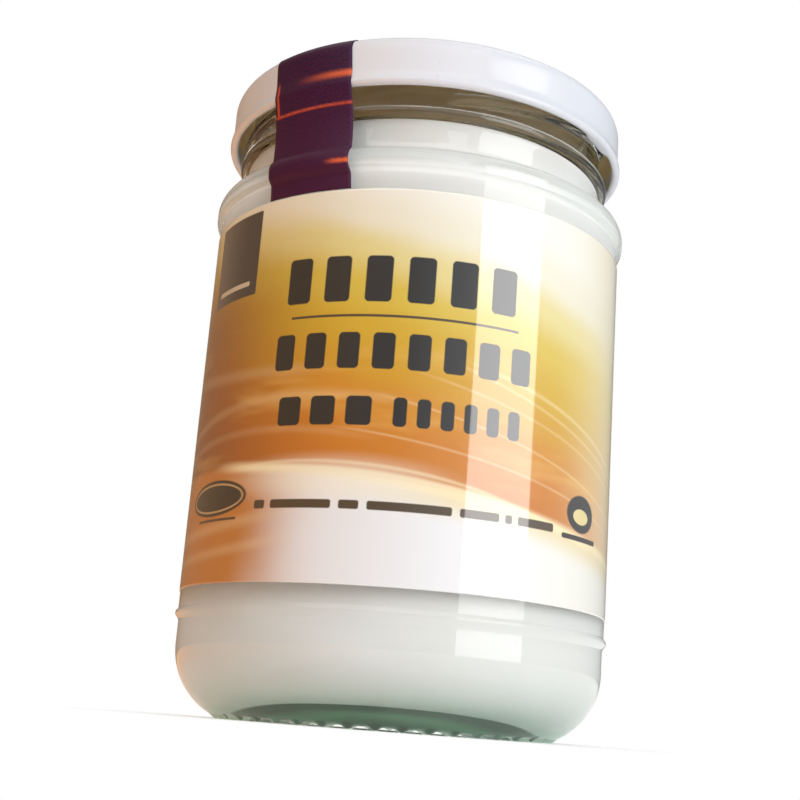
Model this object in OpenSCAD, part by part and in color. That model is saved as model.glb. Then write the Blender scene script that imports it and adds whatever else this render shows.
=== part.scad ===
// Mayonnaise jar: a clear glass twist-off jar filled into its neck, with an enamelled metal lid,
// a wrap-around paper label in a recessed panel and a paper seal strip over the lid's edge.
// The jar stands on z = 0 with its axis on z. The front of the label faces -Y.

/* [Glass jar] */
// Height of the glass, from the ground to the sealing rim
glass_h = 106; // [86:0.5:130]
// Diameter of the recessed label panel
body_d = 70.2; // [68:0.2:90]
// How far the shoulder band stands out from the panel, on the radius
shoulder_rise = 0.8; // [0.4:0.1:1.5]
// How far the band under the panel stands out, on the radius
low_band_rise = 0.4; // [0.2:0.1:1]
// Height of the panel's lower edge
panel_z = 16.9; // [15:0.1:24]
// Height of the plain band above the panel, up to the shoulder's bend
shoulder_band_h = 2.2; // [1.5:0.1:6]
// Radius of the shoulder's bend
shoulder_r = 2.6; // [1.5:0.1:4]
// Slope of the shoulder between its bend and the neck, in degrees
shoulder_slope = 20; // [10:1:40]
// Radius of the hollow where the shoulder meets the neck
neck_root_r = 1.2; // [0.6:0.1:2.5]
// Thickness of the side wall under the panel
wall = 2.3; // [1.6:0.1:3.2]

/* [Heel and base] */
// Radius of the heel outside
heel_r = 12; // [8:0.5:14]
// Height where the heel's curve ends and its upright wall starts
heel_top = 11.4; // [9:0.1:12.5]
// How far the low band stands out from the heel's upright wall, on the radius
heel_step = 0.6; // [0.4:0.1:1.2]
// Radius of the heel inside
heel_in_r = 8.4; // [6:0.1:10]
// Thickness of the glass under the contents, over the standing ring
base_t = 5.7; // [3:0.1:7]
// Rise of the hollow under the base
push_up = 2.6; // [1:0.1:5]
// Rise of the glass floor inside, at its centre
floor_rise = 1.6; // [0.2:0.1:3]
// Width of the standing ring
ring_w = 3.4; // [2.5:0.1:5]
// Height of the ring above the ground, between the knurls
ring_lift = 0.5; // [0.2:0.05:0.8]
// Spacing of the knurls round the ring
knurl_pitch = 3.75; // [3:0.05:6]
// Radius of one knurl
knurl_r = 1.1; // [0.8:0.05:1.4]

/* [Neck finish] */
// Diameter of the neck outside
neck_d = 62.6; // [48:0.2:63]
// Thickness of the neck's wall
neck_wall = 2; // [1.5:0.1:3]
// Height of the neck, from the shoulder's root to the sealing rim
neck_h = 16.4; // [15:0.1:22]
// Height of the transfer bead's middle below the sealing rim
bead_drop = 11.3; // [10:0.1:12]
// Radius of the transfer bead's section
bead_r = 1.1; // [0.6:0.1:1.4]
// How far the transfer bead stands out from the neck
bead_rise = 1.5; // [0.8:0.1:1.8]
// Rounding of the sealing rim
rim_r = 0.8; // [0.3:0.1:0.9]
// Number of thread runs, and of lugs in the lid
thread_runs = 4; // [3:1:6]
// Angle that one thread run covers
thread_sweep = 78; // [40:1:85]
// Tilt of a thread run, in degrees
thread_tilt = 6; // [2:0.5:7]
// Radius of a thread run's section
thread_r = 0.9; // [0.5:0.1:1.2]
// How far a thread run stands out from the neck
thread_rise = 1.1; // [0.6:0.1:1.4]
// Depth of a thread run's middle below the sealing rim
thread_drop = 6.3; // [5.5:0.1:7]
// Direction of the first thread run's middle, in degrees from the front
thread_turn = 46; // [0:1:89]

/* [Contents] */
// Free height between the mayonnaise and the sealing rim
headspace = 10.6; // [9:0.1:30]
// Clearance between the mayonnaise and the glass
fill_gap = 0.03; // [0.01:0.01:0.1]

/* [Lid] */
// Height of the lid
lid_h = 8.9; // [8.5:0.1:11]
// Thickness of the sheet metal with its enamel
tin = 0.35; // [0.2:0.05:0.6]
// Thickness of the sealing space between the lid and the rim
seal_gap = 0.65; // [0.2:0.05:1.2]
// Clearance between the thread runs and the skirt
skirt_gap = 1.95; // [1.2:0.05:3]
// Radius of the edge between the skirt and the top
crown_r = 2.3; // [1:0.1:3]
// Radius of the curled rim's section
curl_r = 0.7; // [0.5:0.05:1]
// How far the curled rim stands out from the skirt
curl_out = 0.4; // [0.2:0.05:0.8]
// Width of the raised ring round the top
crown_w = 3.2; // [1.5:0.1:5]
// Depth of the sunk panel in the top
panel_drop = 0.6; // [0.2:0.1:1]
// Diameter of the button in the middle of the top
button_d = 34; // [20:1:44]
// Rise of the button over the sunk panel
button_rise = 0.3; // [0.1:0.05:0.5]
// Depth of a lug, from the curled rim inwards
lug_reach = 1.6; // [0.8:0.1:1.8]
// Height of a lug
lug_h = 1.1; // [0.6:0.1:1.3]
// Angle that one lug covers
lug_sweep = 12; // [6:1:20]
// Direction of the first lug, in degrees from its thread run's middle
lug_turn = 16; // [5:1:30]

/* [Paper] */
// Thickness of the label and of the strip
paper = 0.13; // [0.08:0.01:0.3]
// Clearance that stands for the glue
glue = 0.02; // [0.01:0.01:0.05]
// Margin between the label and the panel's edges
label_margin = 2.85; // [1:0.05:6]
// Width of the gap between the label's ends, at the back
label_gap = 4; // [1:0.5:20]
// Width of the seal strip
strip_w = 15; // [8:0.5:30]
// Direction of the strip, in degrees from the front, positive to the right
strip_turn = -30.3; // [-60:0.1:60]
// Lean of the strip, in degrees
strip_lean = 5; // [0:0.5:10]
// Length of the strip on the lid's top
strip_on_top = 13; // [4:0.5:24]
// Gap between the strip's lower end and the label
strip_butt = 0.15; // [0.05:0.05:1]
// How far the strip sags towards the neck between the lid and the shoulder
strip_sag = 0.5; // [0:0.1:1.2]

/* [Hidden] */
$fn = 120;
// Angle between the points of a curved outline, in degrees
bend_step = 7.5;
// Number of steps in a dome's outline
dome_steps = 6;
// Overlap of the cutting shapes
over = 1;
// Share of a step that the edge of a band takes in height, for each millimetre it stands out
edge_run = 1.2;
// Width left free of knurls at both edges of the standing ring
knurl_inset = 0.3;
// Width of the slope round the button
button_edge = 1.5;
// Width of the slope between the raised ring and the sunk panel
crown_edge = 0.8;
// Angle up and down the curled rim where the skirt and the strip meet it
curl_side = 30;
// Height over the curled rim's middle where the strip leaves the skirt, for each millimetre of its radius
strip_leave = 2.4;
// Angle on the shoulder's bend where the strip comes down onto it
strip_touch = 52;
// Number of facets round a knurl or a thread run
small_fn = 32;
// Number of facets round the bead or the curled rim
bead_fn = 48;

body_r = body_d / 2;
band_r = body_r + shoulder_rise;
low_r = body_r + low_band_rise;
heel_wall_r = low_r - heel_step;
inside_r = body_r - wall;
neck_r = neck_d / 2;
bore_r = neck_r - neck_wall;

// Heights of the shoulder, worked down from the neck's root
root_z = glass_h - neck_h;
bend_c = [band_r - shoulder_r, 0];
bend_end = bend_c + shoulder_r * [sin(shoulder_slope), cos(shoulder_slope)];
root_c_r = neck_r + neck_root_r;
root_end = [root_c_r - neck_root_r * sin(shoulder_slope), root_z - neck_root_r * cos(shoulder_slope)];
slope_drop = (bend_end.x - root_end.x) * tan(shoulder_slope);
bend_z = root_end.y - slope_drop - bend_end.y;
panel_top = bend_z - shoulder_band_h;

// Standing ring, where the heel's curve comes down to it
heel_c = [heel_wall_r - heel_r, heel_top];
ring_out = heel_c.x + sqrt(pow(heel_r, 2) - pow(heel_top - ring_lift, 2));
ring_in = ring_out - ring_w;
ring_mid = ring_out - ring_w / 2;
knurls = round(2 * PI * ring_mid / knurl_pitch);
knurl_l = ring_w - 2 * knurl_inset;

// Lid, which sits on the sealing rim
fill_z = glass_h - headspace;
thread_out = neck_r + thread_rise;
skirt_in = thread_out + skirt_gap;
skirt_out = skirt_in + tin;
curl_c = [skirt_out + curl_out - curl_r, glass_h + seal_gap + tin - lid_h + curl_r];
lid_top = glass_h + seal_gap + tin;
lug_z = glass_h - thread_drop + neck_r * sin(lug_turn) * sin(thread_tilt) - thread_r - lug_h - 0.1;

// Points of an arc round c, from angle a0 to a1
function arc(c, r, a0, a1) =
    let(n = max(2, ceil(abs(a1 - a0) / bend_step)))
    [for (i = [0 : n]) let(a = a0 + (a1 - a0) * i / n) c + r * [cos(a), sin(a)]];

// Points of a shallow dome with a flat middle, from the axis at height z out to radius r, dropping by h
function dome(z, r, h) =
    concat(
        [[0, z]],
        [for (i = [1 : dome_steps]) [r * i / dome_steps, z - h * (i * i - 1) / (pow(dome_steps, 2) - 1)]]
    );

function unit(v) = v / norm(v);
function side_of(a, b) = let(u = unit(b - a)) [-u.y, u.x];

// A path moved sideways by d, to the left of its direction
function shifted(path, d) =
    [for (i = [0 : len(path) - 1])
        let(
            a = max(i - 1, 0),
            b = min(i, len(path) - 2),
            n1 = side_of(path[a], path[a + 1]),
            n2 = side_of(path[b], path[b + 1]),
            n = unit(n1 + n2),
            p = path[i] + d * n / (n * n1)
        )
        [max(p.x, 0), p.y]];

function reversed(path) = [for (i = [len(path) - 1 : -1 : 0]) path[i]];

// The glass outside, from the axis under the base up to the sealing rim
glass_outside = concat(
    dome(ring_lift + push_up, ring_in, push_up),
    arc(heel_c, heel_r, -asin((heel_top - ring_lift) / heel_r), 0),
    [
        [heel_wall_r, panel_z - edge_run * (2 * low_band_rise + heel_step)],
        [low_r, panel_z - 2 * edge_run * low_band_rise],
        [low_r, panel_z - edge_run * low_band_rise],
        [body_r, panel_z],
        [body_r, panel_top],
        [band_r, panel_top + edge_run * shoulder_rise]
    ],
    arc([bend_c.x, bend_z], shoulder_r, 0, 90 - shoulder_slope),
    arc([root_c_r, root_z], neck_root_r, 270 - shoulder_slope, 180),
    arc([neck_r - rim_r, glass_h - rim_r], rim_r, 0, 90)
);

// The hollow of the glass, from the axis on the floor up to the sealing rim
in_bend_r = shoulder_r;
in_bend_c = [inside_r - in_bend_r, bend_z - wall / 2];
in_bend_end = in_bend_c + in_bend_r * [sin(shoulder_slope), cos(shoulder_slope)];
in_root_z = in_bend_end.y + (in_bend_end.x - bore_r) * tan(shoulder_slope);
hollow = concat(
    dome(base_t + floor_rise, inside_r - heel_in_r, floor_rise),
    arc([inside_r - heel_in_r, base_t + heel_in_r], heel_in_r, -90 + bend_step, 0),
    arc(in_bend_c, in_bend_r, 0, 90 - shoulder_slope),
    [[bore_r, in_root_z]]
);

// The lid's outside, from the axis over the top and down the skirt
lid_outside = concat(
    [
        [0, lid_top - panel_drop + button_rise],
        [button_d / 2 - button_edge, lid_top - panel_drop + button_rise],
        [button_d / 2, lid_top - panel_drop],
        [skirt_out - crown_r - crown_w - crown_edge, lid_top - panel_drop],
        [skirt_out - crown_r - crown_w, lid_top]
    ],
    arc([skirt_out - crown_r, lid_top - crown_r], crown_r, 90, 0),
    [
        [skirt_out, curl_c.y + 2 * curl_r],
        [curl_c.x + curl_r * cos(curl_side), curl_c.y + curl_r * sin(curl_side)]
    ]
);

// The line that the strip follows, from its end on the lid's top down to the label
strip_line = concat(
    [
        [skirt_out - strip_on_top, lid_top - panel_drop],
        [skirt_out - crown_r - crown_w - crown_edge, lid_top - panel_drop],
        [skirt_out - crown_r - crown_w, lid_top]
    ],
    arc([skirt_out - crown_r, lid_top - crown_r], crown_r, 90, 0),
    [[skirt_out, curl_c.y + strip_leave * curl_r]],
    arc(curl_c, curl_r, curl_side, -curl_side),
    [
        [
            (curl_c.x + curl_r + band_r - shoulder_r / 2) / 2 - strip_sag,
            (curl_c.y + bend_z + shoulder_r) / 2
        ]
    ],
    arc([bend_c.x, bend_z], shoulder_r, strip_touch, 0),
    [
        [band_r, panel_top + edge_run * shoulder_rise],
        [body_r, panel_top],
        [body_r, panel_top - label_margin + strip_butt]
    ]
);

module lathe_band(path, near, far) {
    rotate_extrude()
        polygon(concat(shifted(path, near), reversed(shifted(path, far))));
}

module thread_run() {
    rotate([thread_tilt, 0, 0])
        rotate([0, 0, -thread_sweep / 2])
            rotate_extrude(angle = thread_sweep)
                translate([thread_out - thread_r, 0])
                    circle(r = thread_r, $fn = small_fn);
}

module knurl_ring() {
    for (i = [0 : knurls - 1])
        rotate([0, 0, 360 * i / knurls - 90])
            translate([ring_mid - knurl_l / 2, 0, knurl_r - ring_lift / 2])
                rotate([0, 90, 0])
                    cylinder(r = knurl_r, h = knurl_l, $fn = small_fn);
}

module jar_glass() {
    color("#dfe9e4", 0.5)
        difference() {
            union() {
                rotate_extrude()
                    polygon(concat(glass_outside, [[0, glass_h]]));
                rotate_extrude()
                    translate([neck_r + bead_rise - bead_r, glass_h - bead_drop])
                        circle(r = bead_r, $fn = bead_fn);
                for (i = [0 : thread_runs - 1])
                    rotate([0, 0, thread_turn - 90 + 360 * i / thread_runs])
                        translate([0, 0, glass_h - thread_drop])
                            thread_run();
                knurl_ring();
            }
            rotate_extrude()
                polygon(concat(hollow, [[bore_r, glass_h + over], [0, glass_h + over]]));
            translate([0, 0, -over])
                cylinder(r = body_r, h = over);
        }
}

module mayonnaise() {
    color("#f4f1e6")
        intersection() {
            rotate_extrude()
                polygon(concat(
                    shifted(concat(hollow, [[bore_r, glass_h]]), fill_gap),
                    [[0, glass_h]]
                ));
            cylinder(r = body_r, h = fill_z);
        }
}

module lid_lug() {
    rotate([0, 0, -lug_sweep / 2])
        rotate_extrude(angle = lug_sweep)
            translate([curl_c.x - lug_reach, lug_z])
                square([lug_reach + skirt_in - curl_c.x + tin / 2, lug_h]);
}

module lid() {
    color("#f3f4f6") {
        lathe_band(lid_outside, 0, -tin);
        rotate_extrude()
            translate(curl_c)
                circle(r = curl_r, $fn = bead_fn);
        for (i = [0 : thread_runs - 1])
            rotate([0, 0, thread_turn - 90 + lug_turn + 360 * i / thread_runs])
                lid_lug();
    }
}

module label() {
    gap_angle = 360 * label_gap / (2 * PI * body_r);
    color("#e2b45a")
        rotate([0, 0, 90 + gap_angle / 2])
            rotate_extrude(angle = 360 - gap_angle)
                translate([body_r + glue, panel_z + label_margin])
                    square([paper, panel_top - panel_z - 2 * label_margin]);
}

module seal_strip() {
    color("#3d2040")
        intersection() {
            lathe_band(strip_line, glue, glue + paper);
            rotate([0, 0, strip_turn - 90])
                translate([0, 0, (lid_top + panel_top) / 2])
                    rotate([strip_lean, 0, 0])
                        translate([0, -strip_w / 2, -lid_top])
                            cube([band_r + over, strip_w, 2 * lid_top]);
        }
}

jar_glass();
mayonnaise();
lid();
label();
seal_strip();
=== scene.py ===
import math

import bmesh
import bpy
from mathutils import Matrix, Vector


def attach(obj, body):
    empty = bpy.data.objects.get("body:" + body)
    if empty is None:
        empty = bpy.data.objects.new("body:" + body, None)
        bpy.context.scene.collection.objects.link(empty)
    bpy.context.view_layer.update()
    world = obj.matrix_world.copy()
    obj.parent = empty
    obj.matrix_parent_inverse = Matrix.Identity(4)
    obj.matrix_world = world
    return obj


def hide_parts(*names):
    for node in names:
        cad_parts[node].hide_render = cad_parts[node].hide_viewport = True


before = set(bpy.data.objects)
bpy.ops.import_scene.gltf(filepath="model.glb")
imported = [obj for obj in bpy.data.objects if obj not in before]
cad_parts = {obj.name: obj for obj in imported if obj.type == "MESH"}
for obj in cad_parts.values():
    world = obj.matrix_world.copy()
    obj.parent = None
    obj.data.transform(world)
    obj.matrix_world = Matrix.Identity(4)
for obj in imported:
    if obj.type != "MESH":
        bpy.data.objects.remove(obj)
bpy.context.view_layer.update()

MM = 0.001

# Sizes of the jar in millimetres, and angles in degrees, as in part.scad or worked out from it
GLASS_H = 106
BODY_R = 35.1
BAND_R = 35.9
LOW_R = 35.5
INSIDE_R = 32.8
PANEL_Z = 16.9
PANEL_TOP = 83.07
EDGE_RUN = 1.2
BAND_LOW = PANEL_TOP + EDGE_RUN * (BAND_R - BODY_R)
BEND_C = (33.3, 85.27)
BEND_R = 2.6
SLOPE = 20
ROOT_Z = 89.6
ROOT_R = 1.2
NECK_R = 31.3
BORE_R = 29.3
HEEL_C = (22.9, 11.4)
HEEL_R = 12
HEEL_IN_R = 8.4
BASE_T = 5.7
FLOOR_RISE = 1.6
PUSH_UP = 2.6
RING_LIFT = 0.5
RING_IN = 24.52
RING_OUT = 27.92
KNURLS = 44
BEAD_C = (31.7, 94.7)
BEAD_R = 1.1
RIM_R = 0.8
THREAD_Z = 99.7
THREAD_TURN = 46
THREAD_RUNS = 4
THREAD_HALF = 39
THREAD_TILT = 6
THREAD_RISE = 1.1
FILL_Z = 95.4
SKIRT_IN = 34.35
TIN = 0.35
SKIRT_OUT = SKIRT_IN + TIN
CURL_C = (34.4, 98.8)
CURL_R = 0.7
LID_TOP = 107.0
CROWN_R = 2.3
CROWN_W = 3.2
CROWN_C = (SKIRT_OUT - CROWN_R, LID_TOP - CROWN_R)
CROWN_IN = CROWN_C[0] - CROWN_W
PANEL_DROP = 0.6
SUNK_Z = LID_TOP - PANEL_DROP
BUTTON_R = 17
BUTTON_RISE = 0.3
LUG_TURN = 16
LUG_SWEEP = 12
LUG_REACH = 1.6
PAPER = 0.13
GLUE = 0.02
LABEL_MARGIN = 2.85
LABEL_GAP = 4
STRIP_W = 15
STRIP_TURN = -30.3
STRIP_LEAN = 5
STRIP_ON_TOP = 13
STRIP_SAG = 0.5
STRIP_BUTT = 0.15

# Finer shape of the glass: the steps of the heel and of the low band, down from the label panel
HEEL_STEP = 1.68
LOW_STEP = 0.96
# Roundings of those steps, of the panel's edges and of the shoulder band
HEEL_STEP_R = 1.2
LOW_STEP_R = 0.5
LOW_EDGE_R = 0.35
PANEL_EDGE_R = 0.4
BAND_EDGE_R = 0.6
# Height below which the ring's knurls shape the glass
KNURL_TOP = 1.2
# How far the shoulder's inner bend lies under the outer one, and roundings inside the neck
BEND_IN_DROP = 1.15
ROOT_IN_R = 1.2
RIM_IN_R = 0.5
# The bead's soft foot: its height, its width and its reach
BEAD_FOOT = 0.9
BEAD_FOOT_WIDTH = 1.05
BEAD_FOOT_REACH = 2.2
# Half the width of a thread run, and the angles where it ends and where it has its full height
THREAD_HALF_W = 1.1
THREAD_END = THREAD_HALF + 1
THREAD_FULL = THREAD_HALF - 7
# Fine rows of points on the neck, for the bead and for the thread runs: radius, from, to, step
BEAD_ROWS = (NECK_R, ROOT_Z + 0.6, 96.9, 0.18)
THREAD_ROWS = (NECK_R, 97.1, 103.2, 0.2)
# Heights of single rows of points on the straight walls inside the neck and the body
NECK_IN_ROWS = (100, 96, 92)
BODY_IN_ROWS = (70, 50, 30)

# Top of the mayonnaise: its creep up the glass, its fall from there as (way in from the bore, rise),
# its level and the height of its swirls
CREEP = 0.1
MENISCUS = ((0.25, -0.05), (0.9, -0.3), (2, -0.42))
LEVEL = FILL_Z - 0.45
SWIRL = 0.12

# The lid's top from its sunk part to the ring round it, which the strip follows
CROWN_PATH = [(CROWN_IN - 0.8, SUNK_Z, 0.5), (CROWN_IN, LID_TOP, 0.6), (CROWN_C[0], LID_TOP)]
# Height where the skirt begins to flare, and where its outside meets the curl, from the curl's middle
FLARE_Z = 102
CURL_MEET = (0.66, 0.23)
# The strip's rows on the skirt, and the angle on the shoulder's bend where it comes down
STRIP_ROWS = (103.5, 102.3, 101.2)
STRIP_TOUCH = 52

# How far the mayonnaise reaches into the glass, so that no air gap shows
WET = 0.06

# Points round a full turn of the glass, the mayonnaise and the lid
GLASS_SEGS = KNURLS * 8
FILL_SEGS = 176
LID_SEGS = 240


def linear(r, g, b):
    """Scene linear colour of a screen colour given as 0 to 255."""
    def one(c):
        c /= 255
        return c / 12.92 if c <= 0.04045 else ((c + 0.055) / 1.055) ** 2.4
    return (one(r), one(g), one(b), 1)


def smooth(a, b, x):
    """0 at a and 1 at b, with soft ends. a may be above b."""
    t = min(max((x - a) / (b - a), 0), 1)
    return t * t * (3 - 2 * t)


# ---------------------------------------------------------------- outlines

def arc(c, r, a0, a1, step=6):
    """Points along an arc about c from angle a0 to a1, a step of degrees apart."""
    n = max(2, math.ceil(abs(a1 - a0) / step))
    angles = [math.radians(a0 + (a1 - a0) * i / n) for i in range(n + 1)]
    return [(c[0] + r * math.cos(a), c[1] + r * math.sin(a)) for a in angles]


def rounded(points, step=9):
    """A path through (r, z) or (r, z, radius), with each corner that has a radius rounded."""
    out = []
    for i, p in enumerate(points):
        radius = p[2] if len(p) > 2 else 0
        if radius == 0 or i in (0, len(points) - 1):
            out.append((p[0], p[1]))
            continue
        at = Vector(p[:2])
        u = Vector(points[i - 1][:2]) - at
        v = Vector(points[i + 1][:2]) - at
        half = u.angle(v) / 2
        reach = min(radius / math.tan(half), 0.49 * u.length, 0.49 * v.length)
        r = reach * math.tan(half)
        u.normalize()
        v.normalize()
        centre = at + (u + v).normalized() * (r / math.sin(half))
        start, end = at + u * reach, at + v * reach
        a0 = math.atan2(start.y - centre.y, start.x - centre.x)
        a1 = math.atan2(end.y - centre.y, end.x - centre.x)
        turn = (a1 - a0 + math.pi) % (2 * math.pi) - math.pi
        n = max(2, math.ceil(abs(math.degrees(turn)) / step))
        for k in range(n + 1):
            a = a0 + turn * k / n
            out.append((centre.x + r * math.cos(a), centre.y + r * math.sin(a)))
    return out


def climb(r, z0, z1, step):
    """Points up a straight wall at radius r, about a step apart."""
    n = max(1, round((z1 - z0) / step))
    return [(r, z0 + (z1 - z0) * i / n) for i in range(n + 1)]


def dome(z, r, drop, n=12):
    """Points from the axis at height z out to radius r, falling by drop."""
    return [(r * i / n, z - drop * (i / n) ** 2) for i in range(n + 1)]


def inner_shoulder():
    """Inside of the glass: the shoulder bend's centre, the slope's lower end, and its height at the bore."""
    bend = (INSIDE_R - BEND_R, BEND_C[1] - BEND_IN_DROP)
    slope = math.radians(SLOPE)
    low = (bend[0] + BEND_R * math.sin(slope), bend[1] + BEND_R * math.cos(slope))
    return bend, low, low[1] + (low[0] - BORE_R) * math.tan(slope)


# ---------------------------------------------------------------- meshes

def link(name, bm, materials):
    """A smooth object from bm, which is used up."""
    mesh = bpy.data.meshes.new(name)
    bm.normal_update()
    for f in bm.faces:
        f.smooth = True
    bm.to_mesh(mesh)
    bm.free()
    obj = bpy.data.objects.new(name, mesh)
    bpy.context.scene.collection.objects.link(obj)
    for m in materials:
        obj.data.materials.append(m)
    return obj


def lathe(name, path, materials, segs, shape, second_from=None):
    """A closed turned piece, whose path runs from the axis round the section and back to the axis.

    shape(az, i, r, z) moves point i of the path, with az in degrees from the front to the right.
    Bands from second_from on have the second material."""
    bm = bmesh.new()
    rings = []
    for i, (r, z) in enumerate(path):
        if r < 1e-6:
            rings.append([bm.verts.new((0, 0, z * MM))])
            continue
        ring = []
        for k in range(segs):
            az = 360 * k / segs
            rr, zz = shape(az, i, r, z)
            a = math.radians(az)
            ring.append(bm.verts.new((rr * math.sin(a) * MM, -rr * math.cos(a) * MM, zz * MM)))
        rings.append(ring)
    for i, (a, b) in enumerate(zip(rings, rings[1:])):
        for k in range(segs):
            n = (k + 1) % segs
            if len(a) == 1:
                f = bm.faces.new((a[0], b[n], b[k]))
            elif len(b) == 1:
                f = bm.faces.new((a[k], a[n], b[0]))
            else:
                f = bm.faces.new((a[k], a[n], b[n], b[k]))
            f.material_index = 1 if second_from is not None and i >= second_from else 0
    bmesh.ops.recalc_face_normals(bm, faces=bm.faces)
    return link(name, bm, materials)


def sheet(name, cols, rows, place, materials, thick):
    """A closed thin sheet. place(i, j) gives the outer point, the normal and the uv at i, j."""
    bm = bmesh.new()
    layer = bm.loops.layers.uv.new("UVMap")
    sides = []
    for depth in (0, thick):
        grid = []
        for j in range(rows + 1):
            line = []
            for i in range(cols + 1):
                p, n, uv = place(i, j)
                v = bm.verts.new((Vector(p) - Vector(n) * depth) * MM)
                line.append((v, uv))
            grid.append(line)
        sides.append(grid)

    def face(*corners):
        f = bm.faces.new([c[0] for c in corners])
        for loop, c in zip(f.loops, corners):
            loop[layer].uv = c[1]

    top, under = sides
    for j in range(rows):
        for i in range(cols):
            face(top[j][i], top[j][i + 1], top[j + 1][i + 1], top[j + 1][i])
            face(under[j][i], under[j + 1][i], under[j + 1][i + 1], under[j][i + 1])
    for i in range(cols):
        face(top[0][i + 1], top[0][i], under[0][i], under[0][i + 1])
        face(top[rows][i], top[rows][i + 1], under[rows][i + 1], under[rows][i])
    for j in range(rows):
        face(top[j][0], top[j + 1][0], under[j + 1][0], under[j][0])
        face(top[j + 1][cols], top[j][cols], under[j][cols], under[j + 1][cols])
    return link(name, bm, materials)


# ---------------------------------------------------------------- material nodes

class Tree:
    """Short names for making and joining nodes."""

    def __init__(self, tree):
        self.tree = tree

    def new(self, kind, **values):
        node = self.tree.nodes.new(kind)
        for key, value in values.items():
            setattr(node, key, value)
        return node

    def put(self, socket, value):
        if isinstance(value, bpy.types.NodeSocket):
            self.tree.links.new(value, socket)
        elif value is not None:
            socket.default_value = value

    def math(self, op, a, b=None):
        node = self.new("ShaderNodeMath", operation=op)
        self.put(node.inputs[0], a)
        self.put(node.inputs[1], b)
        return node.outputs[0]

    def add(self, a, b):
        return self.math("ADD", a, b)

    def sub(self, a, b):
        return self.math("SUBTRACT", a, b)

    def mul(self, a, b):
        return self.math("MULTIPLY", a, b)

    def band(self, x, a, b):
        """0 below a and 1 above b, or the other way round when a is above b."""
        node = self.new("ShaderNodeMapRange", interpolation_type="SMOOTHSTEP")
        flip = a > b
        values = (x, b, a, 1.0, 0.0) if flip else (x, a, b, 0.0, 1.0)
        for socket, value in zip(node.inputs, values):
            self.put(socket, value)
        return node.outputs[0]

    def bump_at(self, x, centre, width):
        """1 at centre, falling to 0 on both sides over width."""
        return self.band(self.math("ABSOLUTE", self.sub(x, centre)), width, 0.0)

    def mix(self, fac, a, b):
        """Colour a where fac is 0 and colour b where it is 1."""
        node = self.new("ShaderNodeMix", data_type="RGBA")
        self.put(node.inputs[0], fac)
        self.put(node.inputs[6], a)
        self.put(node.inputs[7], b)
        return node.outputs[2]

    def ramp(self, x, stops, low, high):
        """Colours along x, from low to high. stops are (place between low and high, colour)."""
        node = self.new("ShaderNodeValToRGB")
        node.color_ramp.interpolation = "EASE"
        marks = node.color_ramp.elements
        while len(marks) < len(stops):
            marks.new(0.5)
        for mark, (at, colour) in zip(marks, sorted(stops)):
            mark.position = (at - low) / (high - low)
            mark.color = colour
        self.put(node.inputs[0], self.math("DIVIDE", self.sub(x, low), high - low))
        return node.outputs[0]

    def length(self, a, b):
        return self.math("SQRT", self.add(self.mul(a, a), self.mul(b, b)))

    def split(self, vector):
        """The x, y and z of a vector."""
        node = self.new("ShaderNodeSeparateXYZ")
        self.put(node.inputs[0], vector)
        return node.outputs

    def uv(self):
        return self.new("ShaderNodeUVMap", uv_map="UVMap").outputs[0]

    def either(self, fac, a, b):
        """Shader a where fac is 0 and shader b where it is 1."""
        node = self.new("ShaderNodeMixShader")
        for socket, value in zip(node.inputs, (fac, a, b)):
            self.put(socket, value)
        return node.outputs[0]

    def ray(self, kind):
        return self.new("ShaderNodeLightPath").outputs[kind]

    def noise(self, where, scale, detail=2.0, roughness=0.5):
        node = self.new("ShaderNodeTexNoise")
        self.put(node.inputs["Vector"], where)
        node.inputs["Scale"].default_value = scale
        node.inputs["Detail"].default_value = detail
        node.inputs["Roughness"].default_value = roughness
        return node.outputs[0]

    def place(self):
        return self.new("ShaderNodeTexCoord").outputs["Object"]

    def stretched(self, where, scale):
        node = self.new("ShaderNodeMapping")
        node.inputs["Scale"].default_value = scale
        self.put(node.inputs["Vector"], where)
        return node.outputs[0]


class Nodes(Tree):
    """The nodes of a new material with one main shader."""

    def __init__(self, name):
        self.material = bpy.data.materials.new(name)
        self.material.use_nodes = True
        super().__init__(self.material.node_tree)
        self.shader = self.tree.nodes["Principled BSDF"]
        self.output = self.tree.nodes["Material Output"]

    def relief(self, height, distance, strength):
        """A bump of the main shader. distance is in metres."""
        node = self.new("ShaderNodeBump")
        node.inputs["Strength"].default_value = strength
        node.inputs["Distance"].default_value = distance
        self.put(node.inputs["Height"], height)
        self.put(self.shader.inputs["Normal"], node.outputs[0])

    def set(self, **values):
        """Values for the main shader's sockets, with _ for each space in their names."""
        for key, value in values.items():
            self.put(self.shader.inputs[key.replace("_", " ")], value)


def glass_material():
    n = Nodes("clear_green_glass")
    where = n.place()
    # The lowest glass is greener than the walls
    low = n.band(n.split(where)[2], 2.4 * MM, 1.0 * MM)
    n.set(Base_Color=n.mix(low, (1, 1, 1, 1), (0.5, 0.74, 0.57, 1)))
    n.set(Roughness=0.0, IOR=1.5, Transmission_Weight=1.0)
    waves = n.noise(n.stretched(where, (1, 1, 0.35)), 60, 1.0)
    n.relief(waves, 0.00025, 0.6)
    tint = n.new("ShaderNodeVolumeAbsorption")
    tint.inputs["Color"].default_value = (0.35, 0.78, 0.50, 1)
    tint.inputs["Density"].default_value = 8
    n.put(n.output.inputs["Volume"], tint.outputs[0])
    # Light from lamps passes straight through, so that what is behind the glass is lit evenly
    clear = n.new("ShaderNodeBsdfTransparent")
    both = n.either(n.ray("Is Shadow Ray"), n.shader.outputs[0], clear.outputs[0])
    n.put(n.output.inputs["Surface"], both)
    return n.material


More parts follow.
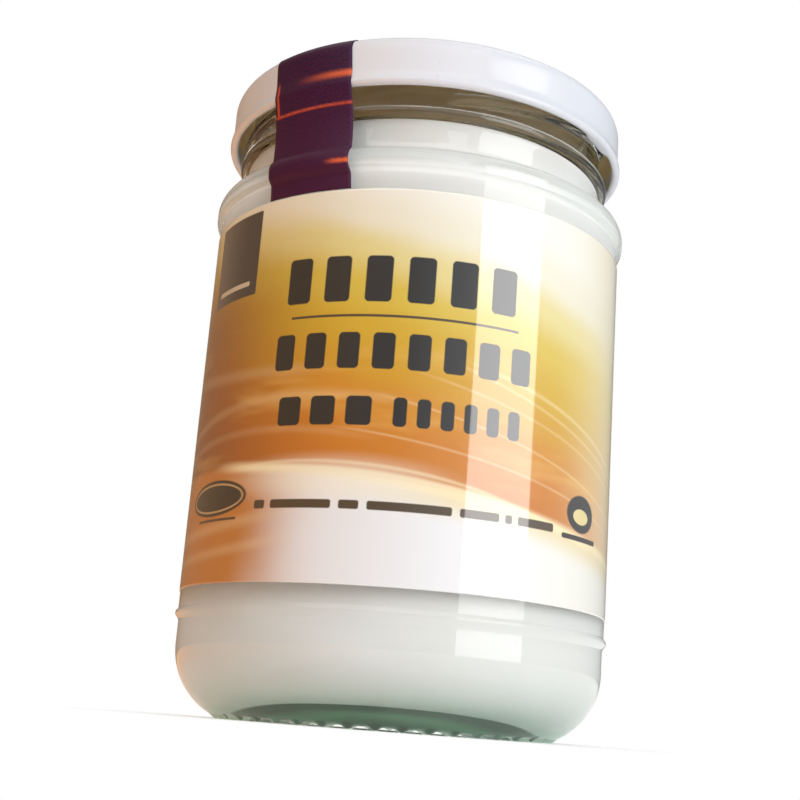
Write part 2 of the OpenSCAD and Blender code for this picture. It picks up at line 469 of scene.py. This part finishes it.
def mayonnaise_material():
    n = Nodes("mayonnaise")
    where = n.place()
    clouds = n.noise(where, 45, 3.0)
    streaks = n.noise(n.stretched(where, (1, 1, 3)), 160, 2.0)
    tone = n.mix(n.band(clouds, 0.35, 0.7), linear(253, 252, 252), linear(250, 249, 246))
    tone = n.mix(n.mul(n.band(streaks, 0.55, 0.75), 0.25), tone, linear(254, 253, 250))
    # Painted shade: the underside of the contents is coloured a dark green, paler in a ring, for the shade
    # and the green of the thick base under it
    x, y, z = n.split(where)
    across = n.length(x, y)
    low = n.mul(n.band(across, 23.9 * MM, 23.3 * MM), n.band(z, 9.0 * MM, 8.5 * MM))
    ring = n.bump_at(across, 19.0 * MM, 2.6 * MM)
    tone = n.mix(low, tone, n.mix(ring, linear(78, 108, 84), linear(132, 184, 148)))
    n.set(Base_Color=tone, Roughness=n.add(0.3, n.mul(clouds, 0.2)), IOR=1.46)
    n.relief(streaks, 0.0002, 0.35)
    return n.material


def enamel_material():
    n = Nodes("white_enamel")
    where = n.place()
    peel = n.noise(where, 900, 1.0)
    wear = n.noise(where, 120, 4.0, 0.65)
    worn = n.mul(n.band(wear, 0.55, 0.85), 0.35)
    tone = n.mix(worn, linear(214, 218, 226), linear(204, 208, 216))
    n.set(Base_Color=tone, Roughness=n.add(0.22, n.mul(wear, 0.18)), IOR=1.5)
    n.set(Coat_Weight=0.4, Coat_Roughness=0.08)
    n.relief(peel, 0.00004, 0.4)
    return n.material


def lacquer_material():
    n = Nodes("lid_inside_lacquer")
    where = n.place()
    wear = n.noise(where, 90, 3.0)
    tone = n.mix(wear, linear(240, 217, 164), linear(246, 226, 176))
    n.set(Base_Color=tone, Roughness=n.add(0.3, n.mul(wear, 0.15)), IOR=1.5)
    return n.material


# ---------------------------------------------------------------- label art

LABEL_LOW = PANEL_Z + LABEL_MARGIN
LABEL_TOP = PANEL_TOP - LABEL_MARGIN
LABEL_R = BODY_R + GLUE + PAPER
LABEL_ROUND = 2 * math.pi * LABEL_R


class Art(Nodes):
    """The label's print, in millimetres: u goes round from the front to the right, and v up."""

    def __init__(self, name):
        super().__init__(name)
        across, up, _ = self.split(self.uv())
        self.u = self.mul(self.sub(across, 0.5), LABEL_ROUND)
        self.v = self.add(self.mul(up, LABEL_TOP - LABEL_LOW), LABEL_LOW)
        flat = self.new("ShaderNodeCombineXYZ")
        self.put(flat.inputs[0], self.u)
        self.put(flat.inputs[1], self.v)
        self.flat = flat.outputs[0]

    def off(self, x, low, high):
        """Distance of x from the middle between low and high."""
        return self.math("ABSOLUTE", self.sub(x, (low + high) / 2))

    def cushion(self, off_u, off_v, half_u, half_v, edge, corner):
        """1 inside a rounded rectangle, given the distances from its middle."""
        du = self.math("MAXIMUM", self.sub(off_u, half_u - corner), 0.0)
        dv = self.math("MAXIMUM", self.sub(off_v, half_v - corner), 0.0)
        return self.band(self.length(du, dv), corner + edge / 2, corner - edge / 2)

    def block(self, u0, u1, v0, v1, edge, corner):
        """1 inside a rounded rectangle with a soft edge."""
        off_u, off_v = self.off(self.u, u0, u1), self.off(self.v, v0, v1)
        return self.cushion(off_u, off_v, (u1 - u0) / 2, (v1 - v0) / 2, edge, corner)

    def blocks(self, u0, u1, v0, v1, count, gap, edge, corner):
        """A row of count equal rounded blocks."""
        pitch = (u1 - u0 + gap) / count
        cell = self.math("FRACT", self.math("DIVIDE", self.sub(self.u, u0 - gap / 2), pitch))
        off_u = self.math("ABSOLUTE", self.sub(self.mul(cell, pitch), pitch / 2))
        off_v = self.off(self.v, v0, v1)
        inside = self.cushion(off_u, off_v, (pitch - gap) / 2, (v1 - v0) / 2, edge, corner)
        return self.mul(inside, self.math("LESS_THAN", self.off(self.u, u0, u1), (u1 - u0 + gap) / 2))

    def oval(self, u, v, half_u, half_v, edge):
        """1 inside an oval about (u, v). edge is a share of its size."""
        du = self.math("DIVIDE", self.sub(self.u, u), half_u)
        dv = self.math("DIVIDE", self.sub(self.v, v), half_v)
        return self.band(self.length(du, dv), 1 + edge / 2, 1 - edge / 2)

    def strand(self, u, v, slope, curve, width, start, end):
        """A bright line through (u, v) with a slope and a curvature, which fades in and out."""
        fade = 10
        away = self.sub(self.u, u)
        level = self.add(self.mul(self.add(self.mul(away, curve), slope), away), v)
        ends = self.mul(self.band(self.u, start, start + fade), self.band(self.u, end, end - fade))
        return self.mul(self.bump_at(self.v, level, width), ends)


# Strands of light on the label: u, v, slope, curve, width, start, end, strength
STRANDS = (
    (-18, 36.6, -0.075, -0.0008, 1.3, -34, 70, 0.8),
    (-18, 36.8, -0.02, -0.0022, 0.7, -30, 40, 0.6),
    (-16, 37.6, 0.02, -0.004, 0.5, -28, 22, 0.45),
    (24, 50.4, -0.28, -0.002, 0.6, 8, 74, 0.3),
    (24, 48.6, -0.31, 0.0, 0.45, 4, 70, 0.25),
    (24, 46.2, -0.27, -0.001, 0.4, 0, 66, 0.2),
    (14, 44.0, -0.24, -0.001, 0.35, -6, 60, 0.25),
    (6, 40.6, -0.16, -0.001, 0.35, -12, 50, 0.25),
    (-30, 46.5, 0.14, -0.004, 1.3, -60, 6, 0.14),
    (-34, 42.0, 0.10, -0.004, 1.0, -64, 0, 0.10),
    (-44, 53.0, -0.10, 0.002, 1.6, -74, -8, 0.14),
    (-40, 27.5, 0.06, 0.002, 1.6, -70, -14, 0.2),
    (-36, 24.0, 0.05, 0.003, 1.4, -66, -12, 0.18),
)

# Rows of blocks where the large words would be: u from and to, v from and to, count, gap
WORD_ROWS = (
    (-19.0, 17.5, 62.0, 69.3, 6, 2.4),
    (-20.2, 20.6, 51.6, 57.2, 8, 2.0),
    (-18.7, -3.6, 43.0, 47.4, 3, 1.7),
    (-0.4, 19.2, 43.0, 47.4, 6, 1.5),
)

# Bars in the small row: u from and to
SMALL_BARS = (
    (-21.7, -19.7), (-18.6, -8.6), (-7.4, -4.4), (-3.2, 9.2),
    (10.4, 16.6), (17.6, 18.8), (19.8, 26.8),
)


def label_field(a, warp):
    """The label's colours above the long streak of light."""
    wisps = a.noise(a.stretched(a.flat, (0.35, 1.6, 1)), 0.09, 3.0, 0.6)
    # Height that the colours follow: they sit higher to the left, and waver
    level = a.add(a.add(a.v, a.mul(a.u, 0.2)), a.mul(a.sub(warp, 0.5), 7.0))
    field = a.ramp(level, [
        (82, linear(240, 239, 230)), (75, linear(235, 231, 210)), (69, linear(226, 212, 142)),
        (63, linear(214, 186, 62)), (57, linear(209, 169, 26)), (51, linear(208, 155, 14)),
        (46, linear(208, 138, 6)), (41, linear(204, 124, 6)), (35, linear(200, 116, 10)),
    ], 32, 88)
    # Browner towards the left
    left = a.band(a.u, -6.0, -42.0)
    field = a.mix(a.mul(a.mul(left, 0.9), a.band(a.v, 80.0, 60.0)), field, linear(132, 72, 12))
    # Paler towards the right
    right = a.band(a.u, 24.0, 46.0)
    field = a.mix(a.mul(right, 0.62), field, linear(240, 228, 190))
    # Soft wisps of light in the gold
    glow = a.mul(a.band(wisps, 0.5, 0.72), a.band(a.v, 66.0, 48.0))
    return a.mix(a.mul(glow, 0.35), field, linear(240, 196, 110))


def label_lower(a, warp, drop):
    """The label's colours under the long streak of light, drop millimetres below it."""
    wobble = a.mul(a.sub(warp, 0.5), 10.0)
    white = a.band(a.add(a.u, wobble), -27.0, -9.0)
    lower = a.mix(white, linear(196, 124, 44), linear(236, 237, 240))
    lower = a.mix(a.mul(a.band(a.u, 14.0, 34.0), 0.75), lower, linear(241, 238, 224))
    warm = a.mul(a.band(drop, 5.0, 0.5), a.band(a.u, -14.0, 12.0))
    return a.mix(a.mul(warm, 0.75), lower, linear(234, 212, 150))


def label_print(a, tone):
    """Plain shapes where the printed words, the mark and the badges would be."""
    ink = linear(15, 13, 13)
    dark = linear(48, 34, 24)
    fine = linear(74, 58, 36)
    grey_panel = a.mix(a.band(a.u, -30.0, -41.0), linear(52, 48, 48), linear(92, 86, 84))
    tone = a.mix(a.block(-40.2, -26.4, 65.1, 79.2, 0.25, 0.3), tone, grey_panel)
    tone = a.mix(a.block(-38.2, -28.2, 66.8, 67.6, 0.2, 0.3), tone, linear(206, 196, 176))
    for row in WORD_ROWS:
        tone = a.mix(a.blocks(*row, 0.22, 0.7), tone, ink)
    tone = a.mix(a.block(-17.9, 18.2, 59.6, 60.0, 0.12, 0.1), tone, fine)
    for u0, u1 in SMALL_BARS:
        tone = a.mix(a.block(u0, u1, 30.6, 31.9, 0.2, 0.35), tone, fine)
    # The left badge, with a thin ring in it and a bar under it
    badge = (-31.8, 32.8)
    tone = a.mix(a.oval(*badge, 8.2, 2.8, 0.08), tone, dark)
    ring = a.mul(a.oval(*badge, 7.6, 2.3, 0.08), a.sub(1.0, a.oval(*badge, 7.2, 2.0, 0.08)))
    tone = a.mix(ring, tone, linear(196, 160, 110))
    tone = a.mix(a.block(-36.5, -25.5, 29.2, 29.6, 0.2, 0.2), tone, fine)
    # The right badge
    tone = a.mix(a.oval(33.8, 34.4, 3.9, 2.9, 0.1), tone, linear(40, 34, 30))
    tone = a.mix(a.oval(33.8, 34.0, 2.2, 1.2, 0.12), tone, linear(232, 212, 150))
    return a.mix(a.block(28.8, 38.8, 30.2, 31.0, 0.2, 0.35), tone, dark)


def label_back(a, tone):
    """A pale panel with plain rows on each side of the label's gap."""
    right = a.block(58, 98, 24, 76, 0.3, 1.0)
    left = a.block(-98, -58, 24, 76, 0.3, 1.0)
    panel = a.math("MAXIMUM", right, left)
    tone = a.mix(a.mul(panel, 0.8), tone, linear(240, 236, 224))
    rows = a.math("FRACT", a.math("DIVIDE", a.v, 2.6))
    lines = a.mul(a.band(rows, 0.36, 0.42), a.band(rows, 0.80, 0.74))
    near = a.off(a.math("ABSOLUTE", a.u), 58, 98)
    words = a.band(a.noise(a.stretched(a.flat, (1, 0.0001, 1)), 0.35, 0.0), 0.42, 0.44)
    tall = a.mul(a.band(a.v, 27.0, 27.2), a.band(a.v, 73.2, 73.0))
    inset = a.mul(a.band(near, 17.2, 17.0), tall)
    return a.mix(a.mul(a.mul(lines, inset), words), tone, linear(84, 70, 52))


def label_material():
    a = Art("label_print")
    warp = a.noise(a.flat, 0.045, 2.0)
    # Height of the long streak of light, which bends down to the right
    away = a.add(a.u, 18.0)
    slope = a.add(0.075, a.mul(a.math("MAXIMUM", away, 0.0), 0.0008))
    streak_v = a.sub(36.6, a.mul(a.math("MAXIMUM", away, -12.0), slope))
    drop = a.sub(streak_v, a.v)
    tone = a.mix(a.band(drop, -0.6, 0.8), label_field(a, warp), label_lower(a, warp, drop))
    for *line, part in STRANDS:
        tone = a.mix(a.mul(a.strand(*line), part), tone, linear(252, 238, 192))
    flare = a.oval(-9.0, 35.0, 13.0, 2.6, 1.6)
    tone = a.mix(a.mul(flare, 0.65), tone, linear(250, 244, 224))
    tone = label_back(a, label_print(a, tone))
    grain = a.noise(a.flat, 2.2, 2.0)
    a.set(Base_Color=tone, Roughness=a.add(0.42, a.mul(grain, 0.12)), IOR=1.5)
    a.set(Coat_Weight=1.0, Coat_Roughness=0.05, Coat_IOR=1.85)
    a.relief(grain, 0.00002, 0.35)
    return a.material


def strip_material():
    n = Nodes("purple_seal_paper")
    uv = n.uv()
    across, down, _ = n.split(uv)
    fibre = n.noise(uv, 90, 3.0, 0.6)
    tone = n.mix(n.band(fibre, 0.3, 0.75), linear(32, 13, 54), linear(37, 15, 61))
    # Creases with painted warm highlights, and painted glints: across under the rim, down the left side, and
    # by the right edge
    waver = n.mul(n.sub(fibre, 0.5), 0.02)
    level = n.add(down, waver)
    crease_and_glint = n.mul(n.bump_at(level, 0.607, 0.011), n.band(fibre, 0.3, 0.5))
    reach = n.mul(n.band(down, 0.44, 0.48), n.band(down, 0.62, 0.6))
    upright = n.mul(n.bump_at(n.add(across, waver), 0.955, 0.03), reach)
    glint = n.mul(n.bump_at(level, 0.475, 0.028), n.band(across, 0.75, 0.0))
    small = n.mul(n.bump_at(level, 0.88, 0.016), n.band(across, 0.3, 0.1))
    speckle = n.band(n.add(fibre, n.mul(down, 0.2)), 0.5, 0.62)
    tone = n.mix(n.mul(speckle, 0.25), tone, linear(120, 40, 52))
    # Painted highlights: the creases and glints are mixed in as lighter orange base colour
    tone = n.mix(n.mul(n.math("MAXIMUM", crease_and_glint, upright), 0.85), tone, linear(214, 84, 48))
    tone = n.mix(n.mul(n.math("MAXIMUM", glint, small), 0.9), tone, linear(230, 106, 58))
    n.set(Base_Color=tone, Roughness=n.add(0.34, n.mul(fibre, 0.16)))
    n.set(IOR=1.5, Specular_IOR_Level=0.2)
    folds = n.add(n.mul(crease_and_glint, 4.0), n.add(fibre, n.mul(upright, 4.0)))
    n.relief(folds, 0.00005, 0.5)
    return n.material


def floor_material():
    n = Nodes("pale_floor")
    where = n.place()
    tone = n.mix(n.noise(where, 6, 3.0), linear(253, 253, 253), linear(250, 250, 250))
    n.set(Base_Color=tone, Roughness=0.9, Specular_IOR_Level=0.0)
    # Away from the jar, the eye sees the floor fade to the white of the backdrop
    far = n.new("ShaderNodeVectorMath", operation="LENGTH")
    n.put(far.inputs[0], where)
    backdrop = n.new("ShaderNodeEmission")
    fade = n.band(far.outputs["Value"], 0.02, 0.06)
    seen = n.either(fade, n.shader.outputs[0], backdrop.outputs[0])
    # The jar gets less light from the floor than the eye sees, and it is warmer on the left
    warm = n.band(n.split(where)[0], 0.03, -0.12)
    shade = n.mix(warm, (0.80, 0.81, 0.82, 1), (0.80, 0.42, 0.20, 1))
    dim = n.new("ShaderNodeBsdfDiffuse")
    n.put(dim.inputs["Color"], shade)
    glow = n.new("ShaderNodeEmission")
    n.put(glow.inputs["Color"], shade)
    glow.inputs["Strength"].default_value = 0.32
    bounce = n.new("ShaderNodeAddShader")
    n.put(bounce.inputs[0], dim.outputs[0])
    n.put(bounce.inputs[1], glow.outputs[0])
    both = n.either(n.ray("Is Camera Ray"), bounce.outputs[0], seen)
    n.put(n.output.inputs["Surface"], both)
    return n.material


# ---------------------------------------------------------------- pieces

def from_front(az, at, count, k):
    """Signed angle in degrees from copy k of count copies about the axis, the first at angle at."""
    return (az - at - 360 * k / count + 180) % 360 - 180


def glass_outside():
    """Path of the outside, and where the neck's fine rows begin and end in it."""
    ring_low = RING_IN + 0.4
    steps = 8
    path = dome(RING_LIFT + PUSH_UP, RING_IN - 1.2, PUSH_UP)[:-1]
    path += rounded([
        (RING_IN - 2.2, RING_LIFT + 0.32), (RING_IN - 0.5, RING_LIFT, 0.8), (ring_low, RING_LIFT),
    ])
    path += [(ring_low + i * (RING_OUT - RING_IN - 0.6) / steps, RING_LIFT) for i in range(1, steps + 1)]
    heel_start = -math.degrees(math.asin((HEEL_C[1] - RING_LIFT) / HEEL_R))
    path += arc(HEEL_C, HEEL_R, heel_start + 2, -1, 3)
    heel_wall = HEEL_C[0] + HEEL_R
    path += rounded([
        (heel_wall, HEEL_C[1]), (heel_wall, PANEL_Z - HEEL_STEP, HEEL_STEP_R),
        (LOW_R, PANEL_Z - LOW_STEP, LOW_STEP_R),
        (LOW_R, PANEL_Z - EDGE_RUN * (LOW_R - BODY_R), LOW_EDGE_R), (BODY_R, PANEL_Z, LOW_EDGE_R),
        (BODY_R, PANEL_TOP, PANEL_EDGE_R), (BAND_R, BAND_LOW, BAND_EDGE_R), (BAND_R, BEND_C[1]),
    ])
    path += arc(BEND_C, BEND_R, 0, 90 - SLOPE, 5)[1:]
    path += arc((NECK_R + ROOT_R, ROOT_Z), ROOT_R, 270 - SLOPE, 180, 7)
    neck_start = len(path)
    path += climb(*BEAD_ROWS) + climb(*THREAD_ROWS)
    neck_end = len(path)
    path += arc((NECK_R - RIM_R, GLASS_H - RIM_R), RIM_R, 0, 90, 11)
    return path, neck_start, neck_end


def glass_inside():
    """Path of the inside, from the rim down to the middle of the base."""
    bend, low, bore_z = inner_shoulder()
    path = rounded([
        (NECK_R - RIM_R - 0.2, GLASS_H), (BORE_R, GLASS_H, RIM_IN_R), (BORE_R, GLASS_H - 2),
    ])[1:]
    path += [(BORE_R, z) for z in NECK_IN_ROWS]
    path += rounded([(BORE_R, ROOT_Z + 0.4), (BORE_R, bore_z, ROOT_IN_R), low])
    path += arc(bend, BEND_R, 90 - SLOPE, 0, 6)[1:]
    path += [(INSIDE_R, z) for z in BODY_IN_ROWS]
    path += arc((INSIDE_R - HEEL_IN_R, BASE_T + HEEL_IN_R), HEEL_IN_R, 0, -90, 5)
    path += dome(BASE_T + FLOOR_RISE, INSIDE_R - HEEL_IN_R, FLOOR_RISE)[-2::-1]
    return path


def bead_out(z):
    """How far the bead, with its soft foot, stands out from the neck at height z."""
    dz = abs(z - BEAD_C[1])
    out = 0
    if dz < BEAD_R:
        out = max(BEAD_C[0] - NECK_R + math.sqrt(BEAD_R ** 2 - dz ** 2), 0)
    if dz < BEAD_FOOT_REACH:
        out = max(out, BEAD_FOOT * math.exp(-((dz / BEAD_FOOT_WIDTH) ** 2)))
    return out


def thread_out(az, z):
    """How far the thread runs stand out from the neck."""
    out = 0
    for run in range(THREAD_RUNS):
        d = from_front(az, THREAD_TURN, THREAD_RUNS, run)
        if abs(d) > THREAD_END:
            continue
        middle = THREAD_Z + NECK_R * math.sin(math.radians(d)) * math.sin(math.radians(THREAD_TILT))
        t = abs(z - middle) / THREAD_HALF_W
        if t < 1:
            ends = smooth(THREAD_END, THREAD_FULL, abs(d))
            out = max(out, THREAD_RISE * ends * (1 - t * t) ** 0.8)
    return out


def glass_piece():
    outside, neck_start, neck_end = glass_outside()

    def shape(az, i, r, z):
        if neck_start <= i < neck_end:
            return r + max(bead_out(z), thread_out(az, z)), z
        if RING_IN - 0.6 < r < RING_OUT + 0.7 and z < KNURL_TOP and i < neck_start:
            inner = smooth(RING_IN - 0.5, RING_IN + 0.4, r)
            outer = smooth(RING_OUT + 0.5, RING_OUT - 0.6, r)
            knurl = max(0, math.cos(math.radians(az * KNURLS)))
            return r, z - RING_LIFT * (inner * outer) * min(1, 1.3 * knurl ** 1.8)
        return r, z

    path = outside + glass_inside()
    return lathe("jar_glass_body", path, [glass_material()], GLASS_SEGS, shape)


def mayonnaise_piece():
    bend, low, bore_z = inner_shoulder()
    wall = BORE_R + WET
    path = dome(BASE_T + FLOOR_RISE - WET, INSIDE_R - HEEL_IN_R, FLOOR_RISE)[:-1]
    path += arc((INSIDE_R - HEEL_IN_R, BASE_T + HEEL_IN_R), HEEL_IN_R + WET, -90, 0, 5)
    path += arc(bend, BEND_R + WET, 0, 90 - SLOPE, 6)
    path += rounded([(low[0], low[1] + WET), (wall, bore_z + WET, ROOT_IN_R), (wall, ROOT_Z + 0.4)])[1:]
    path += [(wall, NECK_IN_ROWS[-1]), (wall, FILL_Z - 0.2)]
    top = len(path)
    path += [(wall, FILL_Z + CREEP)]
    path += [(BORE_R - inset, FILL_Z + rise) for inset, rise in MENISCUS]
    path += [(r, LEVEL) for r in range(24, -1, -4)]

    def shape(az, i, r, z):
        if i < top:
            return r, z
        a = math.radians(az)
        swirl = math.sin(3 * a + r * 0.35) + 0.6 * math.sin(5 * a - r * 0.5 + 1)
        return r, z + SWIRL * swirl * smooth(0, 6, r)

    return lathe("mayonnaise_fill", path, [mayonnaise_material()], FILL_SEGS, shape)


def lid_piece():
    button_z = SUNK_Z + BUTTON_RISE
    outside = rounded([
        (0, button_z), (BUTTON_R - 1.5, button_z, 1.5), (BUTTON_R, SUNK_Z, 1.5), *CROWN_PATH,
    ], 8)
    outside += arc(CROWN_C, CROWN_R, 90, 0, 6)[1:]
    outside += [(SKIRT_OUT, LID_TOP - CROWN_R - i) for i in (1, 2)]
    outside += rounded([
        (SKIRT_OUT, FLARE_Z), (SKIRT_OUT, CURL_C[1] + 1.3, 4),
        (CURL_C[0] + CURL_MEET[0], CURL_C[1] + CURL_MEET[1]),
    ], 5)
    curl = arc(CURL_C, CURL_R, 18, -200, 9)
    # The second point is far enough down for the full rounding of the third
    inner = rounded([
        (SKIRT_IN, CURL_C[1] + 0.9), (SKIRT_IN, LID_TOP - 2 * CROWN_R),
        (SKIRT_IN, LID_TOP - TIN, CROWN_R - TIN), (CROWN_IN + 0.1, LID_TOP - TIN, 0.5),
        (CROWN_IN - 0.7, SUNK_Z - TIN, 0.6), (BUTTON_R + 0.1, SUNK_Z - TIN, 1.2),
        (BUTTON_R - 1.6, button_z - TIN, 1.2), (0, button_z - TIN),
    ], 10)
    first = len(outside)
    last = first + len(curl)
    lug_edge = CURL_C[0] + 0.2

    def shape(az, i, r, z):
        if not (first <= i < last and r < lug_edge):
            return r, z
        side = smooth(lug_edge, CURL_C[0] - CURL_R, r)
        for k in range(THREAD_RUNS):
            d = abs(from_front(az, THREAD_TURN + LUG_TURN, THREAD_RUNS, k))
            if d < LUG_SWEEP:
                push = smooth(LUG_SWEEP * 0.75, LUG_SWEEP * 0.35, d) * side
                return r - (LUG_REACH - CURL_R) * push, z + 0.15 * push
        return r, z

    # Lacquer covers the inside from its second point on
    materials = [enamel_material(), lacquer_material()]
    return lathe("lid_shell", outside + curl + inner, materials, LID_SEGS, shape, last + 1)


def label_piece():
    cols = 288
    turn = math.radians(360 * (1 - LABEL_GAP / (2 * math.pi * BODY_R)))
    # Shares of the label's height, with a narrow row along each edge
    heights = [0, 0.004, 0.1, 0.25, 0.4, 0.5, 0.6, 0.75, 0.9, 0.996, 1]

    def place(i, j):
        a = turn * (i / cols - 0.5)
        z = LABEL_LOW + (LABEL_TOP - LABEL_LOW) * heights[j]
        out = (math.sin(a), -math.cos(a), 0)
        uv = (0.5 + a / (2 * math.pi), heights[j])
        return (LABEL_R * out[0], LABEL_R * out[1], z), out, uv

    return sheet("label_wrap", cols, len(heights) - 1, place, [label_material()], PAPER)


def strip_line():
    """The line under the strip, as (r, z), from its end on the lid's top down to the label."""
    line = rounded([(SKIRT_OUT - STRIP_ON_TOP, SUNK_Z), *CROWN_PATH], 12)
    line += arc(CROWN_C, CROWN_R, 90, 0, 9)[1:]
    line += [(SKIRT_OUT, z) for z in STRIP_ROWS]
    line += arc(CURL_C, CURL_R, 30, -30, 12)
    low = arc(BEND_C, BEND_R, STRIP_TOUCH, 0, 8)
    # Between the rim and the shoulder it hangs free, and sags a little
    mid_from, mid_to = line[-1], low[0]
    for k in range(1, 10):
        t = k / 10
        r = mid_from[0] + (mid_to[0] - mid_from[0]) * t
        z = mid_from[1] + (mid_to[1] - mid_from[1]) * t
        line.append((r - STRIP_SAG * math.sin(math.pi * t), z))
    line += low
    line += rounded([
        (BAND_R, BEND_C[1] - 0.3), (BAND_R, BAND_LOW, BAND_EDGE_R),
        (BODY_R, PANEL_TOP, PANEL_EDGE_R), (BODY_R, PANEL_TOP - LABEL_MARGIN + STRIP_BUTT),
    ])
    return line


def even(line, count):
    """Points at count even steps along a line."""
    runs = [0.0]
    for p, q in zip(line, line[1:]):
        runs.append(runs[-1] + math.dist(p, q))
    out = []
    k = 0
    for j in range(count + 1):
        d = runs[-1] * j / count
        while k < len(runs) - 2 and runs[k + 1] < d:
            k += 1
        t = (d - runs[k]) / max(runs[k + 1] - runs[k], 1e-9)
        p, q = line[k], line[k + 1]
        out.append((p[0] + (q[0] - p[0]) * t, p[1] + (q[1] - p[1]) * t))
    return out


def strip_piece():
    rows = 90
    cols = 24
    pts = even(strip_line(), rows)
    lean = math.radians(STRIP_LEAN)
    pivot = (LID_TOP + PANEL_TOP) / 2
    lift = GLUE + PAPER

    def place(i, j):
        s = STRIP_W * (0.5 - i / cols)
        p = pts[j]
        before, after = pts[max(j - 1, 0)], pts[min(j + 1, rows)]
        along = Vector((after[0] - before[0], after[1] - before[1])).normalized()
        nr, nz = -along.y, along.x
        # The end on the flat of the top is cut straight, where the rows over the rim follow its circle
        straight = math.hypot(p[0], s) - p[0]
        r = p[0] + nr * lift + straight * smooth(CROWN_IN - 1.2, SKIRT_OUT - STRIP_ON_TOP, p[0])
        z = p[1] + nz * lift
        side = (s - (p[1] - pivot) * math.sin(lean)) / math.cos(lean)
        a = math.radians(STRIP_TURN) + math.asin(side / p[0])
        out = (math.sin(a), -math.cos(a))
        return (r * out[0], r * out[1], z), (nr * out[0], nr * out[1], nz), (i / cols, j / rows)

    return sheet("seal_strip_paper", cols, rows, place, [strip_material()], PAPER)


def floor_piece():
    bm = bmesh.new()
    half, cells = 6.0, 8
    bmesh.ops.create_grid(bm, x_segments=cells, y_segments=cells, size=half)
    return link("studio_floor", bm, [floor_material()])


for piece, node, slot in (
    (glass_piece(), "jar_glass", "glass"),
    (mayonnaise_piece(), "mayonnaise", "mayonnaise"),
    (lid_piece(), "lid", "white_enamel"),
    (label_piece(), "label", "label_paper"),
    (strip_piece(), "seal_strip", "purple_paper"),
):
    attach(piece, "root")
    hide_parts(node)
floor_piece()


# ---------------------------------------------------------------- camera and light

def camera():
    """Near the table's height, turned a little about the jar and looking up at it."""
    distance, height = 0.21876, 0.00106
    turn, yaw, pitch, roll = (math.radians(x) for x in (2.5, -0.33, 14.06, 4.32))
    forward = Vector((math.sin(yaw) * math.cos(pitch), math.cos(yaw) * math.cos(pitch), math.sin(pitch)))
    right = Vector((math.cos(yaw), -math.sin(yaw), 0))
    up = right.cross(forward)
    right, up = (
        math.cos(roll) * right + math.sin(roll) * up,
        -math.sin(roll) * right + math.cos(roll) * up,
    )
    data = bpy.data.cameras.new("camera")
    data.sensor_width = 36
    data.lens = 58.3
    data.clip_start = 0.005
    data.clip_end = 50
    obj = bpy.data.objects.new("camera", data)
    bpy.context.scene.collection.objects.link(obj)
    at = Matrix.Translation((0, -distance, height)) @ Matrix((right, up, -forward)).transposed().to_4x4()
    obj.matrix_world = Matrix.Rotation(turn, 4, "Z") @ at
    bpy.context.scene.camera = obj


def lamp(name, size, power, at, aim, colour=(1, 1, 1)):
    """A soft rectangular light of size (width, height), which the eye doesn't see."""
    data = bpy.data.lights.new(name, "AREA")
    data.shape = "RECTANGLE"
    data.size, data.size_y = size
    data.energy = power
    data.color = colour
    obj = bpy.data.objects.new(name, data)
    bpy.context.scene.collection.objects.link(obj)
    obj.location = at
    obj.rotation_euler = (Vector(aim) - obj.location).to_track_quat("-Z", "Y").to_euler()
    obj.visible_camera = False
    return obj


def around(azimuth, up, distance):
    """A place that far from the jar's foot, with angles in degrees from the front to the right and up."""
    a, b = math.radians(azimuth), math.radians(up)
    flat = distance * math.cos(b)
    return (flat * math.sin(a), -flat * math.cos(a), distance * math.sin(b))


def upright_lamp(name, azimuth, distance, low, high, width, power):
    """A lamp that stands upright and faces the jar, from height low to high."""
    middle = (low + high) / 2
    x, y, _ = around(azimuth, 0, distance)
    return lamp(name, (width, high - low), power, (x, y, middle), (0, 0, middle))


def lights():
    upright_lamp("window", azimuth=54.5, distance=1.2, low=0.0, high=0.8, width=0.8, power=7.0)
    # A large pale blue light over the camera, aimed down at the jar
    over_camera = around(azimuth=-8, up=46, distance=1.3)
    lamp("front", (1.6, 0.7), 6.1, at=over_camera, aim=(0, 0, 0.05), colour=(0.92, 0.965, 1.0))
    # It lights the jar from behind, and isn't mirrored in the glass
    back_fill = upright_lamp(
        "back_fill", azimuth=205, distance=1.2, low=0.1, high=1.1, width=1.0, power=7.0
    )
    back_fill.visible_glossy = False
    lamp("overhead", (1.8, 1.8), 8.5, at=(0, 0, 1.6), aim=(0, 0, 0))


def surroundings():
    """White to the eye. To the jar, a room that is bright on the right and dim and warm on the left."""
    world = bpy.data.worlds.new("studio")
    bpy.context.scene.world = world
    world.use_nodes = True
    n = Tree(world.node_tree)
    n.tree.nodes.clear()
    turn = n.new("ShaderNodeMapping")
    turn.inputs["Rotation"].default_value = (0, 0, math.radians(8))
    n.put(turn.inputs[0], n.new("ShaderNodeTexCoord").outputs["Generated"])
    # From -1 on the left to 1 on the right
    across = n.split(turn.outputs[0])[0]
    tone = n.ramp(across, [
        (-1.0, (0.37, 0.24, 0.14, 1)), (-0.5, (0.30, 0.20, 0.12, 1)), (0.0, (0.21, 0.19, 0.17, 1)),
        (0.5, (0.38, 0.39, 0.40, 1)), (1.0, (0.56, 0.58, 0.61, 1)),
    ], -1.0, 1.0)
    room = n.new("ShaderNodeBackground")
    n.put(room.inputs["Color"], tone)
    white = n.new("ShaderNodeBackground")
    white.inputs["Color"].default_value = (1, 1, 1, 1)
    both = n.either(n.ray("Is Camera Ray"), room.outputs[0], white.outputs[0])
    n.put(n.new("ShaderNodeOutputWorld").inputs["Surface"], both)


camera()
surroundings()
lights()
bpy.context.scene.view_settings.view_transform = "Standard"
